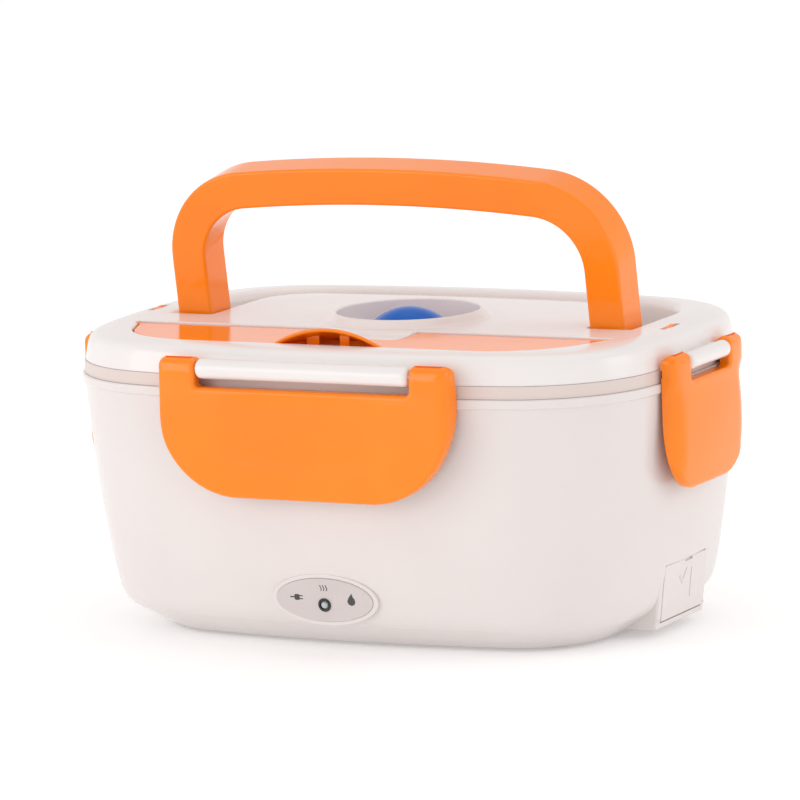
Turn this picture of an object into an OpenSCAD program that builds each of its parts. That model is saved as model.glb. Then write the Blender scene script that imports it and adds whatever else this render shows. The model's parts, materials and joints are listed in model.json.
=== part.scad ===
// Electric lunch box: heated base, lift-off lid with four latches,
// folding carry handle, spoon compartment, steam vent and food containers.
// Millimetres, +Z up, +Y to the back, origin at the middle of the footprint.

/* [Body] */
// Half length of the body at the lid seam
body_a = 113.4; // [108:0.2:120]
// Half width of the body at the lid seam
body_b = 81.8; // [78:0.2:88]
// Bulge radius of the long sides
bulge_long = 417; // [300:1:700]
// Bulge radius of the short sides
bulge_short = 258; // [200:1:400]
// Corner radius at the lid seam
corner_r = 47; // [42:0.5:52]
// Height of the top face of the lid
lid_top = 110; // [109:0.5:112]

/* [Latches] */
// Half width of the two wide latches
latch_w_long = 57.2; // [52:0.2:60]
// Half width of the two narrow latches
latch_w_short = 30; // [26:0.2:32]
// Width of each latch ear
ear_w = 15; // [11:0.5:16]
// Radius of the latch hinge barrel
barrel_r = 3.6; // [3:0.1:3.8]
// Radius of the latch hinge pin
latch_pin_r = 1.5; // [1:0.1:2]
// Height of the latch hinge axis
latch_axis_z = 102.8; // [102.4:0.1:103.2]
// Height of the lower edge of the latches
latch_low = 57.4; // [50:0.2:65]

/* [Handle] */
// Half span over the handle legs
handle_half = 89.6; // [88:0.2:90]
// Width of a handle leg
leg_w = 13.6; // [10:0.2:14]
// Depth of the handle bar, front to back
handle_t = 16.1; // [12:0.1:16.4]
// Reach of the handle from its axis to its top
handle_reach = 63.9; // [60:0.1:64.2]
// Forward lean of the handle on its stop
handle_lean = 9; // [6:1:10]
// Radius of the handle pivot pins
handle_pin_r = 3; // [2.5:0.1:3.4]

/* [Spoon compartment] */
// Front edge of the spoon cover
cover_front = 66.5; // [64:0.5:67]
// Rear edge of the spoon cover
cover_rear = 30.5; // [30:0.5:34]

/* [Vent] */
// Radius of the vent recess
vent_r = 26; // [24:0.5:27]
// Radius of the vent button
vent_button_r = 15.5; // [13:0.5:17]
// Height of the raised lip around the vent recess
vent_lip = 2.9; // [1.5:0.1:3.5]

/* [Heater] */
// Radius of the heating plate face
plate_r = 35.5; // [30:0.5:38]

/* [Hidden] */

white = "ivory";
orange = "darkorange";

// ---- body outline: four shallow arcs joined by four corner arcs ----
function corner_c(a, b, r) =
  let (c1 = [0, -(bulge_long - b)], c2 = [-(bulge_short - a), 0],
       d1 = bulge_long - r, d2 = bulge_short - r, dd = norm(c2 - c1),
       ex = (c2 - c1) / dd, x = (d1 * d1 - d2 * d2 + dd * dd) / (2 * dd),
       h = sqrt(max(d1 * d1 - x * x, 0)), ey = [-ex[1], ex[0]],
       p = c1 + ex * x + ey * h, q = c1 + ex * x - ey * h)
  (p[0] > 0 && p[1] > 0) ? p : q;

// first quarter, from the +X end up to just before the +Y end
function quarter(o) =
  let (a = body_a + o, b = body_b + o, r = corner_r + 0.6 * o,
       c = corner_c(a, b, r), c1 = [0, -(bulge_long - b)], c2 = [-(bulge_short - a), 0],
       t1 = atan2(c[1] - c1[1], c[0]), t2 = atan2(c[1], c[0] - c2[0]))
  concat(
    [for (i = [0:2]) c2 + bulge_short * [cos(t2 * i / 3), sin(t2 * i / 3)]],
    [for (i = [0:7]) let (t = t2 + (t1 - t2) * i / 8) c + r * [cos(t), sin(t)]],
    [for (i = [0:4]) let (t = t1 + (90 - t1) * i / 5) c1 + bulge_long * [cos(t), sin(t)]]);

function ring(o) =
  let (q = quarter(o), n = len(q))
  concat(q, [[0, body_b + o]], [for (i = [n - 1:-1:1]) [-q[i][0], q[i][1]]],
         [for (p = q) -p], [[0, -(body_b + o)]],
         [for (i = [n - 1:-1:1]) [q[i][0], -q[i][1]]]);

// rings at (offset, height) joined into one closed solid
module loft(path, closed = false) {
  n = len(ring(0));
  m = len(path);
  pts = [for (p = path) for (q = ring(p[0])) [q[0], q[1], p[1]]];
  last = closed ? m - 1 : m - 2;
  sides = [for (i = [0:last]) for (j = [0:n - 1])
    let (k = (i + 1) % m, l = (j + 1) % n)
    each [[i * n + j, k * n + j, k * n + l], [i * n + j, k * n + l, i * n + l]]];
  caps = closed ? [] : [[for (j = [0:n - 1]) j], [for (j = [n - 1:-1:0]) (m - 1) * n + j]];
  polyhedron(pts, concat(sides, caps), convexity = 8);
}

// ---- small helpers ----
module tube_x(r, x0, x1, y, z, fn = 48)
  translate([x0, y, z]) rotate([0, 90, 0]) cylinder(r = r, h = x1 - x0, $fn = fn);
module tube_y(r, y0, y1, x, z, fn = 48)
  translate([x, y1, z]) rotate([90, 0, 0]) cylinder(r = r, h = y1 - y0, $fn = fn);
module box(p, q) translate(p) cube(q - p);

// a round wire swept through hand-set points on one smooth curve
function curve_at(p, i, t) =
  let (n = len(p), a = p[max(i - 1, 0)], b = p[i], c = p[min(i + 1, n - 1)], d = p[min(i + 2, n - 1)])
  0.5 * (2 * b + (c - a) * t + (2 * a - 5 * b + 4 * c - d) * t * t + (3 * b - a - 3 * c + d) * t * t * t);
module wire(p, r, sides = 10) {
  steps = 4;
  c = concat([for (i = [0:len(p) - 2]) for (k = [0:steps - 1]) curve_at(p, i, k / steps)], [p[len(p) - 1]]);
  m = len(c);
  pts = [for (i = [0:m - 1])
    let (d = c[min(i + 1, m - 1)] - c[max(i - 1, 0)], t = d / norm(d),
         s = cross(t, [0, 0, 1]), u = s / norm(s), v = cross(u, t))
    for (j = [0:sides - 1]) c[i] + r * (cos(j * 360 / sides) * u + sin(j * 360 / sides) * v)];
  faces = [for (i = [0:m - 2]) for (j = [0:sides - 1]) let (l = (j + 1) % sides)
    each [[i * sides + j, i * sides + l, (i + 1) * sides + l], [i * sides + j, (i + 1) * sides + l, (i + 1) * sides + j]]];
  polyhedron(pts, concat(faces, [[for (j = [sides - 1:-1:0]) j], [for (j = [0:sides - 1]) (m - 1) * sides + j]]), convexity = 6);
}

// ---- placements ----
seam_z = 99.1;
rim_z = 94.4;
floor_z = 40;
handle_z = 104;
cover_axis_y = -31.9;
cover_axis_z = 108.5;
wide_axis = body_b + 2.8;
narrow_axis = body_a + 3.5;
narrow_drop = 2.4;
narrow_z = latch_axis_z - narrow_drop;
ear_r = 4.1;
flap_x = 102.3;
flap_z = 5.6;
flap_tilt = 7;
flap_y0 = -15;
flap_y1 = 20;
lamp_y = -74.3;
lamp_z = 19.7;
lamp_tilt = 7;
screw_at = ring(-33)[7];
foot_at = ring(-46)[7];

// ---- base ----
module lamp_frame() translate([0, lamp_y, lamp_z]) rotate([90 + lamp_tilt, 0, 0]) children();
module oval(a, b) polygon([for (i = [0:47]) [a * cos(i * 7.5), b * sin(i * 7.5)]]);
module flap_frame() translate([flap_x, 0, flap_z]) rotate([0, flap_tilt, 0]) children();

module base_shell() color(white) {
  difference() {
    union() {
      loft([[-38, 3.3], [-28.2, 3.3], [-28.2, 1.2], [-26.3, 1.2], [-15.2, 8.2],
        [-12.4, 10], [-10.8, 12], [-9.1, 16.5], [-6.45, 30], [-3.6, 50], [-1.6, 70],
        [-0.1, 90.6], [1, 91.4], [1, 94.1], [0.7, rim_z], [-0.9, rim_z], [-0.9, 92.2],
        [-2.4, 92.2], [-4.8, 60], [-8.65, 30], [-12, 14.6], [-16.6, 10], [-25, 5.3],
        [-38, 5.3]], closed = true);
      // housing of the power inlet
      translate([0, flap_y1 + 3, 0]) rotate([90, 0, 0]) linear_extrude(flap_y1 - flap_y0 + 6)
        polygon([[84, 3.3], [102.7, 3.3], [105.8, 28.5], [84, 28.5]]);
      // raised oval under the indicator panel
      lamp_frame() translate([0, 0, -8]) linear_extrude(8) oval(21, 9.6);
      for (sx = [-1, 1], sy = [-1, 1]) translate([sx * screw_at[0], sy * screw_at[1], 5])
        cylinder(r = 4.2, h = 8, $fn = 48);
      // posts that carry the lamp board
      for (sx = [-1, 1]) tube_y(1.5, -69, -60, sx * 6.2, 18.6, 32);
    }
    for (sx = [-1, 1], sy = [-1, 1]) translate([sx * screw_at[0], sy * screw_at[1], 3])
      cylinder(r = 1.2, h = 8.5, $fn = 32);
    // seat of the flap, and the opening behind it for the inlet
    flap_frame() box([-1.3, flap_y0 - 0.3, 0], [4, flap_y1 + 0.3, 21.2]);
    box([80, -9.5, 8.5], [110, 14.5, 22.5]);
    flap_frame() tube_y(0.8, flap_y0 - 2.5, flap_y1 + 2.5, 0, 1.2, 32);
    // seat and hole of the indicator
    lamp_frame() translate([0, 0, -0.5]) linear_extrude(4) oval(19.7, 8.5);
    lamp_frame() translate([0, -1.7, -12]) cylinder(r = 2.3, h = 14, $fn = 40);
  }
}

module inner_tub() color("whitesmoke") difference() {
  loft([[-15.6, 38.2], [-14.1, 39.4], [-7.4, 92.2], [-1, 92.2], [-1, rim_z],
    [-9, rim_z], [-15.8, 41.4], [-17.4, floor_z]]);
  translate([0, 0, 30]) cylinder(r = plate_r + 0.5, h = 20, $fn = 96);
}

module bottom_cover() color(white) difference() {
  translate([0, 0, 1.2]) linear_extrude(2.1) polygon(ring(-28.4));
  for (sx = [-1, 1], sy = [-1, 1]) {
    translate([sx * screw_at[0], sy * screw_at[1], 0]) {
      cylinder(r = 1.5, h = 5, $fn = 32);
      cylinder(r = 3.1, h = 2.4, $fn = 40);
    }
    translate([sx * foot_at[0], sy * foot_at[1], 0]) cylinder(r = 3, h = 5, $fn = 40);
  }
}

module feet() color("dimgray")
  for (sx = [-1, 1], sy = [-1, 1]) translate([sx * foot_at[0], sy * foot_at[1], 0]) {
    cylinder(r = 6.5, h = 1.2, $fn = 48);
    translate([0, 0, 1.2]) cylinder(r = 3, h = 2.1, $fn = 40);
  }

module cover_screws() color("silver")
  for (sx = [-1, 1], sy = [-1, 1]) translate([sx * screw_at[0], sy * screw_at[1], 0])
    difference() {
      union() {
        translate([0, 0, 1.3]) cylinder(r = 2.9, h = 1.1, $fn = 40);
        translate([0, 0, 2.4]) cylinder(r = 1.2, h = 8.2, $fn = 32);
      }
      translate([-2, -0.35, 1]) cube([4, 0.7, 0.9]);
      translate([-0.35, -2, 1]) cube([0.7, 4, 0.9]);
    }

// ---- heater ----
module heating_plate() color("silver") difference() {
  union() {
    translate([0, 0, 35.4]) cylinder(r = plate_r + 5.5, h = 2, $fn = 96);
    translate([0, 0, 36.4]) cylinder(r = plate_r, h = 4.2, $fn = 96);
  }
  for (s = [-1, 1]) translate([10, s * 18, 35]) cylinder(r = 1.2, h = 3, $fn = 32);
}

module plate_seal() color("tomato") difference() {
  translate([0, 0, 37.4]) cylinder(r = plate_r + 5, h = 0.8, $fn = 96);
  translate([0, 0, 37]) cylinder(r = plate_r + 0.2, h = 2, $fn = 96);
}

module ptc_heater() color("dimgray") {
  box([-8, -11, 30], [28, 11, 35.4]);
  box([28, -4, 32], [34, 4, 32.6]);
}

module heater_bracket() color("gainsboro") difference() {
  union() {
    box([3, -13, 29], [17, 13, 30]);
    for (s = [-1, 1]) {
      box([3, min(s * 12, s * 13), 29], [17, max(s * 12, s * 13), 35.4]);
      box([3, min(s * 12, s * 22), 34.4], [17, max(s * 12, s * 22), 35.4]);
    }
  }
  for (s = [-1, 1]) translate([10, s * 18, 33]) cylinder(r = 1.5, h = 4, $fn = 32);
}

module bracket_screws() color("silver") for (s = [-1, 1]) translate([10, s * 18, 0]) {
  translate([0, 0, 32.8]) cylinder(r = 2.6, h = 1.6, $fn = 40);
  translate([0, 0, 34.4]) cylinder(r = 1.2, h = 3.4, $fn = 32);
}

module thermostat() color("tan") translate([-24, 0, 0]) {
  translate([0, 0, 31.4]) cylinder(r = 8.5, h = 4, $fn = 64);
  translate([0, 0, 27.4]) cylinder(r = 7.4, h = 4, $fn = 64);
  for (s = [-1, 1]) box([-2, s * 4 - 0.4, 21.4], [2, s * 4 + 0.4, 27.4]);
}

module thermal_fuse() color("silver") tube_x(2, -8, 6, -27, 33.4, 40);

// ---- inlet, wires, lamp ----
module inlet_socket() color("black") difference() {
  box([86, -9.5, 8.5], [100.6, 14.5, 22.5]);
  translate([90, 0, 15.5]) rotate([0, 90, 0]) linear_extrude(12) union() {
    translate([0, -1.5]) circle(r = 4.4, $fn = 48);
    translate([0, 6.5]) circle(r = 4.4, $fn = 48);
    translate([-4.4, -1.5]) square([8.8, 8]);
  }
  for (y = [-1.5, 6.5]) tube_x(1.1, 84, 92, y, 15.5, 32);
}

module inlet_pins() color("silver") for (y = [-1.5, 6.5]) {
  tube_x(1.1, 81, 97.4, y, 15.5, 32);
  translate([97.4, y, 15.5]) sphere(r = 1.1, $fn = 32);
}

module live_wire() color("crimson")
  wire([[80.9, -1.5, 15.5], [78.5, -1.5, 15.5], [76, -1.5, 15.5], [62, -14, 19], [44, -27, 28],
    [24, -27, 33.4], [15, -27, 33.4], [10, -27, 33.4], [6.1, -27, 33.4]], 1.1);

module neutral_wire() color("royalblue")
  wire([[80.9, 6.5, 15.5], [78.5, 6.5, 15.5], [76, 6.5, 15.5], [58, 10, 20], [47, 3, 30],
    [40, 0, 32.3], [37, 0, 32.3], [34.1, 0, 32.3]], 1);

module link_wire() color("crimson")
  wire([[-8.1, -27, 33.4], [-11, -27, 33.4], [-14, -27, 33.4], [-22, -20, 27], [-24, -11, 24.4],
    [-24, -7.5, 24.4], [-24, -4.5, 24.4]], 1.1);

module lamp_wires() color("goldenrod") for (s = [-1, 1])
  wire([[s * 4, -58.5, 17], [s * 4, -56, 17], [s * 4, -53.5, 17], [s * 10 + 8, -36, 22], [s * 14 + 8, -22, 30],
    [s * 14 + 8, -16, 32.5], [s * 14 + 8, -13.5, 32.5], [s * 14 + 8, -11.1, 32.5]], 0.7);

module lamp_board() color("seagreen") {
  box([-8, -60, 12], [8, -58.6, 25]);
  box([-6, -61.4, 21], [-2, -60, 23]);
}

module lamp_led() color("lightgray") lamp_frame() translate([0, -1.7, 0]) {
  translate([0, 0, -6]) cylinder(r = 1.45, h = 6, $fn = 32);
  sphere(r = 1.45, $fn = 32);
  translate([0, 0, -7]) cylinder(r = 1.9, h = 1, $fn = 32);
  for (s = [-1, 1]) translate([s * 0.9 - 0.25, -0.25, -14.1]) cube([0.5, 0.5, 7.1]);
}

module lamp_bezel() color("black") lamp_frame() translate([0, -1.7, 0]) difference() {
  union() {
    translate([0, 0, -5]) cylinder(r = 2.05, h = 5.4, $fn = 40);
    translate([0, 0, 0.4]) cylinder(r = 2.4, h = 0.5, $fn = 40);
  }
  translate([0, 0, -7]) cylinder(r = 1.5, h = 9, $fn = 32);
}

module lamp_plate() color("lightgray") lamp_frame() difference() {
  translate([0, 0, -0.5]) linear_extrude(0.9) oval(19.6, 8.4);
  translate([0, -1.7, -2]) cylinder(r = 2.1, h = 4, $fn = 40);
}

module socket_flap() color(white) flap_frame() difference() {
  union() {
    box([-1, flap_y0, 1.2], [1, flap_y1, 20.9]);
    tube_y(1, flap_y0, flap_y1, 0, 1.2, 40);
  }
  tube_y(0.86, flap_y0 - 1, flap_y1 + 1, 0, 1.2, 32);
  box([0.2, 2.5, 19.6], [2, 8.5, 22]);
}

module flap_pin() color("silver") flap_frame() tube_y(0.8, flap_y0 - 2.5, flap_y1 + 2.5, 0, 1.2, 32);

// ---- food containers ----
module container() color("lightgray")
  loft([[-18.6, 41], [-16.9, 43], [-9.9, 92], [-9.9, 97.3], [-1.5, 97.3], [-1.5, 94.6],
    [0.1, 94.6], [0.1, 98.9], [-11.2, 98.9], [-11.2, 92.2], [-18.2, 43.8], [-19.6, 42.6]]);

module round_rect(x0, y0, x1, y1, r) polygon(concat(
  [for (i = [0:8]) [x1 - r + r * sin(i * 11.25), y0 + r - r * cos(i * 11.25)]],
  [for (i = [0:8]) [x1 - r + r * cos(i * 11.25), y1 - r + r * sin(i * 11.25)]],
  [for (i = [0:8]) [x0 + r - r * sin(i * 11.25), y1 - r + r * cos(i * 11.25)]],
  [for (i = [0:8]) [x0 + r - r * cos(i * 11.25), y0 + r - r * sin(i * 11.25)]]));

module side_dish_box() color("white") difference() {
  union() {
    translate([0, 0, 42.9]) linear_extrude(44.1) round_rect(24, -47, 84, 47, 18);
    translate([0, 0, 85.4]) linear_extrude(1.6) round_rect(21.5, -49.5, 86.5, 49.5, 20);
  }
  translate([0, 0, 44.3]) linear_extrude(50) round_rect(25.4, -45.6, 82.6, 45.6, 16.6);
}

// ---- lid ----
// spoon cover outline grown by o
function cover_half(o) =
  let (r = 36 + o, cx = 56, cy = -(cover_front - 36), t = 70,
       e = [cx + r * sin(t), cy - r * cos(t)], yr = -cover_rear + o,
       l = (yr - e[1]) / sin(t))
  concat([for (i = [0:12]) [cx + r * sin(t * i / 12), cy - r * cos(t * i / 12)]],
         [[e[0] + l * cos(t), yr]]);
function cover_outline(o) =
  let (h = cover_half(o), n = len(h)) concat(h, [for (i = [n - 1:-1:0]) [-h[i][0], h[i][1]]]);

// handle outline in its own plane (x, reach), grown by o
function arch(x, top, rad, cr) =
  let (c = sqrt((rad - cr) * (rad - cr) - (x - cr) * (x - cr)) + top - rad,
       t = atan2(c - (top - rad), x - cr))
  concat([[x, 0]], [for (i = [0:9]) [x - cr + cr * cos(t * i / 9), c + cr * sin(t * i / 9)]],
         [for (i = [1:4]) let (u = t + (90 - t) * i / 4) [rad * cos(u), top - rad + rad * sin(u)]]);
function mirrored(h) = let (n = len(h)) concat(h, [for (i = [n - 2:-1:0]) [-h[i][0], h[i][1]]]);
module handle_2d(o) difference() {
  polygon(mirrored(arch(handle_half + o, handle_reach + o, 640 + o, 33 + o)));
  translate([0, -0.01]) polygon(mirrored(arch(handle_half - leg_w - o, handle_reach - leg_w - o, 620 - o, 20 - o)));
}
module leg_slots(o) for (s = [-1, 1])
  translate([s > 0 ? handle_half - leg_w - o : -handle_half - o, -10.2 - (o > 1 ? 1.2 : 0)])
    square([leg_w + 2 * o, 11 + o]);

module barrels(r, grow) {
  for (s = [-1, 1]) {
    l = latch_w_long - ear_w - grow;
    tube_x(r, -l, l, s * wide_axis, latch_axis_z);
    k = latch_w_short - 13 - grow;
    tube_y(min(r, 3.1), -k, k, s * narrow_axis, narrow_z);
  }
}

// rounded tongue of the lid that fills the notch of the cover
module tongue(w, y, r, z0, z1) {
  box([-w, y + r, z0], [w, -29.6, z1]);
  box([-w + r, y, z0], [w - r, -29.6, z1]);
  for (s = [-1, 1]) translate([s * (w - r), y + r, z0]) cylinder(r = r, h = z1 - z0, $fn = 48);
}

module lid_shell() color(white) difference() {
  union() {
    lid_body();
    tongue(18, -47.1, 2.6, 96, 109.2);
  }
  box([-16.4, -45.4, 94], [16.4, -31, 107.6]);
}

// raised lip with a rounded crest and a soft outer slope
module vent_rim() translate([0, 0, lid_top]) rotate_extrude($fn = 96) polygon([
  [vent_r - 0.5, -1], [vent_r - 0.5, vent_lip - 0.5], [vent_r, vent_lip - 0.5], [vent_r + 0.2, vent_lip - 0.15],
  [vent_r + 0.6, vent_lip], [vent_r + 1.05, vent_lip - 0.06], [vent_r + 1.6, vent_lip - 0.4],
  [vent_r + 2.3, vent_lip * 0.6], [vent_r + 2.9, vent_lip * 0.3], [vent_r + 3.4, vent_lip * 0.1],
  [vent_r + 3.8, 0], [vent_r + 3.8, -1]]);

module lid_body() difference() {
  union() {
    loft([[-8, 108], [-4.6, 106.6], [-3, 104], [-2.3, seam_z], [-0.3, seam_z], [-1.1, 104],
      [-2, 106.8], [-3.6, 108.5], [-6, 109.4], [-11, lid_top]]);
    loft([[-14.2, 94], [-12.6, 94], [-12.6, 108.5], [-14.2, 108.5]], closed = true);
    translate([0, 0, 99.3]) linear_extrude(9.1) polygon(cover_outline(1.4));
    translate([0, 0, 95.4]) linear_extrude(4) intersection() {
      polygon(cover_outline(1.4));
      polygon(ring(-13));
    }
    translate([0, 0, 93.9]) linear_extrude(14.6) intersection() {
      union() { handle_2d(2); leg_slots(2); }
      polygon(ring(-13));
    }
    translate([0, 0, 101.4]) cylinder(r = vent_r + 1.4, h = 7, $fn = 96);
    vent_rim();
    for (s = [-1, 1]) {
      box([s > 0 ? 91 : -106.5, -7.5, seam_z + 0.3], [s > 0 ? 106.5 : -91, 9, 108.5]);
      box([s > 0 ? 90 : -100.5, -7.5, 97], [s > 0 ? 100.5 : -90, 9, 108.5]);
    }
    barrels(barrel_r, 0.4);
    for (s = [-1, 1]) {
      l = latch_w_long - ear_w - 0.4;
      box([-l, min(s * wide_axis, s * (body_b - 4)), latch_axis_z - 1.6], [l, max(s * wide_axis, s * (body_b - 4)), latch_axis_z + 1.6]);
      k = latch_w_short - 13.4;
      box([min(s * narrow_axis, s * (body_a - 3)), -k, narrow_z - 0.9], [max(s * narrow_axis, s * (body_a - 3)), k, narrow_z + 1.6]);
    }
  }
  // spoon compartment and the seat of its cover
  translate([0, 0, 107.4]) linear_extrude(5) polygon(cover_outline(0));
  translate([0, 0, 99.4]) linear_extrude(9.6) polygon(cover_outline(-2.6));
  translate([0, 0, 97]) linear_extrude(3) intersection() {
    polygon(cover_outline(-2.6));
    polygon(ring(-14.4));
  }
  box([-18, -cover_front, 104.8], [18, -cover_front + 8, 110]);
  box([-89, -cover_rear - 8, 97], [89, -cover_rear, 110]);
  box([-94.7, -cover_rear - 3, 106.4], [94.7, -cover_rear + 0.6, 112]);
  // groove and slots of the handle
  translate([0, 0, 95.5]) linear_extrude(16) union() { handle_2d(0.8); leg_slots(0.8); }
  tube_x(handle_pin_r + 0.06, -103, -handle_half, 0, handle_z, 64);
  tube_x(handle_pin_r + 0.06, handle_half, 103, 0, handle_z, 64);
  for (s = [-1, 1]) box([s > 0 ? 101.7 : -104.1, -6.4, 98], [s > 0 ? 104.1 : -101.7, 8, 112]);
  // vent recess and its passage
  translate([0, 0, 103]) cylinder(r = vent_r, h = 12, $fn = 96);
  translate([0, 0, 90]) cylinder(r = 4.9, h = 20, $fn = 64);
  // bores of the spoon cover's stubs
  tube_x(1.06, -97, -92, cover_axis_y, cover_axis_z, 32);
  tube_x(1.06, 92, 97, cover_axis_y, cover_axis_z, 32);
  // bores of the latch pins
  barrels(latch_pin_r, -2);
}

module lid_liner() color("whitesmoke") difference() {
  loft([[-14.6, 92.2], [-13.2, 92.8], [-13.2, 93.9], [-15, 93.9]]);
  translate([0, 0, 90]) cylinder(r = 6, h = 6, $fn = 48);
}

module lid_gasket() color("lightgray")
  loft([[-12.6, 95], [-11.5, 95.3], [-11.35, 96.2], [-11.5, 97.1], [-12.6, 97.4]], closed = true);

module vent_plug() color("royalblue") {
  intersection() {
    translate([0, 0, 94.8]) sphere(r = 19, $fn = 96);
    translate([0, 0, 104]) cylinder(r = vent_button_r, h = 11, $fn = 96);
  }
  translate([0, 0, 96]) cylinder(r = 4.8, h = 8.5, $fn = 64);
}

module vent_seal() color("gainsboro") difference() {
  translate([0, 0, 103.05]) cylinder(r = 12, h = 0.95, $fn = 64);
  translate([0, 0, 102]) cylinder(r = 4.8, h = 4, $fn = 64);
}

// ---- handle ----
module handle() color(orange) translate([0, 0, handle_z]) rotate([handle_lean, 0, 0]) {
  difference() {
    translate([0, handle_t / 2, 0]) rotate([90, 0, 0]) linear_extrude(handle_t) handle_2d(0);
    box([-95, -20, -1], [95, 20, 0.01]);
  }
  for (s = [-1, 1]) {
    x0 = s > 0 ? handle_half - leg_w : -handle_half;
    tube_x(handle_t / 2, x0, x0 + leg_w, 0, 0, 64);
    tube_x(handle_pin_r, s > 0 ? handle_half - 1 : -103.8, s > 0 ? 103.8 : -handle_half + 1, 0, 0, 64);
    box([s > 0 ? 102 : -103.8, -4.4, -1.5], [s > 0 ? 103.8 : -102, 4.4, 5.9]);
  }
}

// ---- spoon compartment ----
// raised hood over the finger scoop: part of a cylinder that leans back
module hood(grow) translate([0, -65.5, 115.7]) rotate([-109, 0, 0])
  translate([0, 43, -12]) cylinder(r = 43 + grow, h = 44, $fn = 128);
module half_moon(r, y0, z0, z1) intersection() {
  translate([0, -65.6, z0]) cylinder(r = r, h = z1 - z0, $fn = 96);
  box([-r - 1, y0, z0 - 1], [r + 1, 0, z1 + 1]);
}

module spoon_cover() color(orange) difference() {
  union() {
    translate([0, 0, 107.6]) linear_extrude(1.8) polygon(cover_outline(-0.3));
    intersection() {
      hood(0);
      box([-24, -65.6, 108.6], [24, -44, 118]);
    }
    half_moon(16.4, -66, 105.6, 108);
    for (s = [-1, 1]) tube_x(1, s > 0 ? 90 : -95.9, s > 0 ? 95.9 : -90, cover_axis_y, cover_axis_z, 32);
  }
  // hollow of the hood, open to the front, and the scoop below it
  difference() {
    intersection() {
      hood(-1.3);
      union() {
        box([-24, -70, 109.4], [24, -44, 118]);
        half_moon(15, -64.9, 107, 110);
      }
    }
    box([-10.7, -60.2, 105], [-5.7, -59.2, 118]);
    box([2.5, -60.2, 105], [6.3, -59.2, 118]);
  }
  tongue(18.5, -47.5, 3, 100, 118);
}

module spoon() color("white") translate([0, -51.5, 97.3]) {
  translate([-52, 0, 20]) difference() {
    intersection() {
      sphere(r = 20, $fn = 64);
      translate([0, 0, -20]) cylinder(r = 11.5, h = 6, $fn = 64);
    }
    sphere(r = 18.9, $fn = 64);
  }
  difference() {
    translate([0, 0, 2.2]) linear_extrude(1.4) union() {
      polygon([[-43, -3.2], [-20, -3], [60, -5.5], [60, 5.5], [-20, 3], [-43, 3.2]]);
      translate([60, 0]) circle(r = 5.5, $fn = 48);
    }
    translate([-52, 0, 20]) sphere(r = 18.9, $fn = 64);
  }
}

// ---- latches: drawn for the front, hung on an axis at (0, -axis, latch_axis_z) ----
module latch_face(w, ear, cr) {
  translate([-w + cr, latch_low]) square([2 * (w - cr), cr + 1]);
  for (s = [-1, 1]) {
    intersection() {
      translate([s * (w - cr), latch_low + cr]) circle(r = cr, $fn = 96);
      translate([s > 0 ? w - cr : -w, latch_low]) square([cr, cr]);
    }
    translate([s > 0 ? w - ear : -w, latch_low + cr]) square([ear, 108 - latch_low - cr]);
  }
  translate([-w, latch_low + cr]) square([2 * w, 96.4 - latch_low - cr]);
}

// depth profile seen from the end: flat face, round top about the axis
module latch_side(axis, face, back) {
  translate([-face, latch_low - 1]) square([face - back, latch_axis_z - latch_low + 1]);
  translate([-axis, latch_axis_z]) circle(r = ear_r, $fn = 64);
}

module latch(w, ear, cr, axis, seam, bulge, edge, drop = 0) {
  face = axis + ear_r;
  back = seam + 1.4;
  difference() {
    intersection() {
      translate([0, 0, 0]) rotate([90, 0, 0]) linear_extrude(face + 2) latch_face(w, ear, cr);
      rotate([90, 0, 90]) translate([0, 0, -w]) linear_extrude(2 * w) latch_side(axis, face, axis - ear_r);
      // plan view: rounded vertical edges
      linear_extrude(120) union() {
        translate([-w + edge, -face]) square([2 * (w - edge), 14]);
        for (s = [-1, 1]) translate([s * (w - edge), -face + edge]) circle(r = edge, $fn = 64);
        translate([-w, -face + edge]) square([2 * w, 14 - edge]);
      }
    }
    // follow of the bulging body
    translate([0, bulge - seam - 1.4, 40]) cylinder(r = bulge, h = latch_axis_z - ear_r - 40, $fn = 360);
    translate([0, bulge - seam - 0.2, 90]) cylinder(r = bulge, h = 30, $fn = 360);
    // straight back between the end walls
    box([-w + 2.2, -seam - 1.4, 40], [w - 2.2, -seam + 20, latch_axis_z - ear_r]);
    // room for the rim band behind the lower ears
    if (drop > 0) box([-w - 1, -axis + 3.5, latch_axis_z - ear_r - 0.1], [w + 1, -seam + 20, latch_axis_z - 1.2]);
    // hollow back
    rotate([90, 0, 0]) linear_extrude(face - 2.4) intersection() {
      translate([-w + 2.2, latch_low + 2.2]) square([2 * w - 4.4, 92.8 - latch_low - 2.2]);
      union() {
        translate([-w + cr, latch_low + 2.2]) square([2 * (w - cr), 40]);
        translate([-w + 2.2, latch_low + cr]) square([2 * w - 4.4, 40]);
        for (s = [-1, 1]) translate([s * (w - cr), latch_low + cr]) circle(r = cr - 2.2, $fn = 96);
      }
    }
    tube_x(latch_pin_r + 0.05, -w - 1, w + 1, -axis, latch_axis_z, 32);
  }
  // hook rib
  box([-w * 0.55, -face + 2, 87.6 + drop], [w * 0.55, -seam - 1.4, 90.6 + drop]);
}

module latch_front() color(orange) latch(latch_w_long, ear_w, 31, wide_axis, body_b, bulge_long, 3.2);
module latch_back() color(orange) rotate([0, 0, 180]) latch(latch_w_long, ear_w, 31, wide_axis, body_b, bulge_long, 3.2);
module latch_right() color(orange) translate([0, 0, -narrow_drop]) rotate([0, 0, 90]) latch(latch_w_short, 13, 17, narrow_axis, body_a, bulge_short, 6.5, narrow_drop);
module latch_left() color(orange) translate([0, 0, -narrow_drop]) rotate([0, 0, -90]) latch(latch_w_short, 13, 17, narrow_axis, body_a, bulge_short, 6.5, narrow_drop);

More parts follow.
